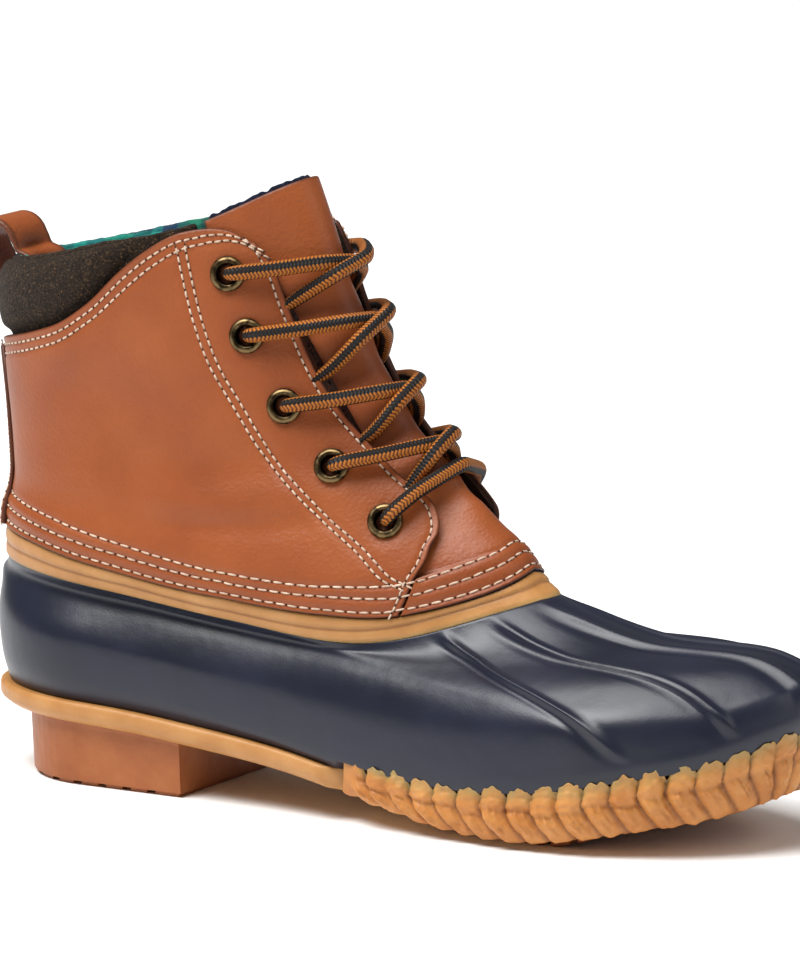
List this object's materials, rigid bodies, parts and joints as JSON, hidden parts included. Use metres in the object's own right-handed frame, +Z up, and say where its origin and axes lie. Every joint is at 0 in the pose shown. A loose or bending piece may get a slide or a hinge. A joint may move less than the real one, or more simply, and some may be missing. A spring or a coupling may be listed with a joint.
{
  "type": "lace-up duck boot",
  "caption": "Right duck boot: hollow rubber shell with crimped rand and block heel, lace-up leather shaft, felt collar cuff and rear pull loop.",
  "frame": {"origin": "middle of the flat floor face of the heel", "axes": "+X towards the toe, -Y to the outer side of the foot, +Z up"},
  "size_m": [0.2921, 0.0943, 0.1927],
  "materials": {
    "gum_rubber": "satin moulded",
    "navy_rubber": "satin moulded",
    "insole_board": "matt knit over board",
    "tan_leather": "smooth satin",
    "wool_felt": "matt felted wool",
    "antique_brass": "darkened satin",
    "lace_cord": "braided matt"
  },
  "bodies": {
    "root": {"outsole": "gum_rubber", "heel": "gum_rubber", "rand": "gum_rubber", "top_binding": "gum_rubber", "rubber_shell": "navy_rubber", "insole": "insole_board", "leather_quarters": "tan_leather", "tongue": "tan_leather", "collar_cuff": "wool_felt", "back_stay": "tan_leather", "pull_loop": "tan_leather", "lace_bar": "lace_cord", "eyelet_outer_1": "antique_brass", "eyelet_outer_2": "antique_brass", "eyelet_outer_3": "antique_brass", "eyelet_outer_4": "antique_brass", "eyelet_outer_5": "antique_brass", "eyelet_inner_1": "antique_brass", "eyelet_inner_2": "antique_brass", "eyelet_inner_3": "antique_brass", "eyelet_inner_4": "antique_brass", "eyelet_inner_5": "antique_brass", "lace_crossing_1": "lace_cord", "lace_crossing_2": "lace_cord", "lace_crossing_3": "lace_cord", "lace_crossing_4": "lace_cord"}
  },
  "joints": []
}
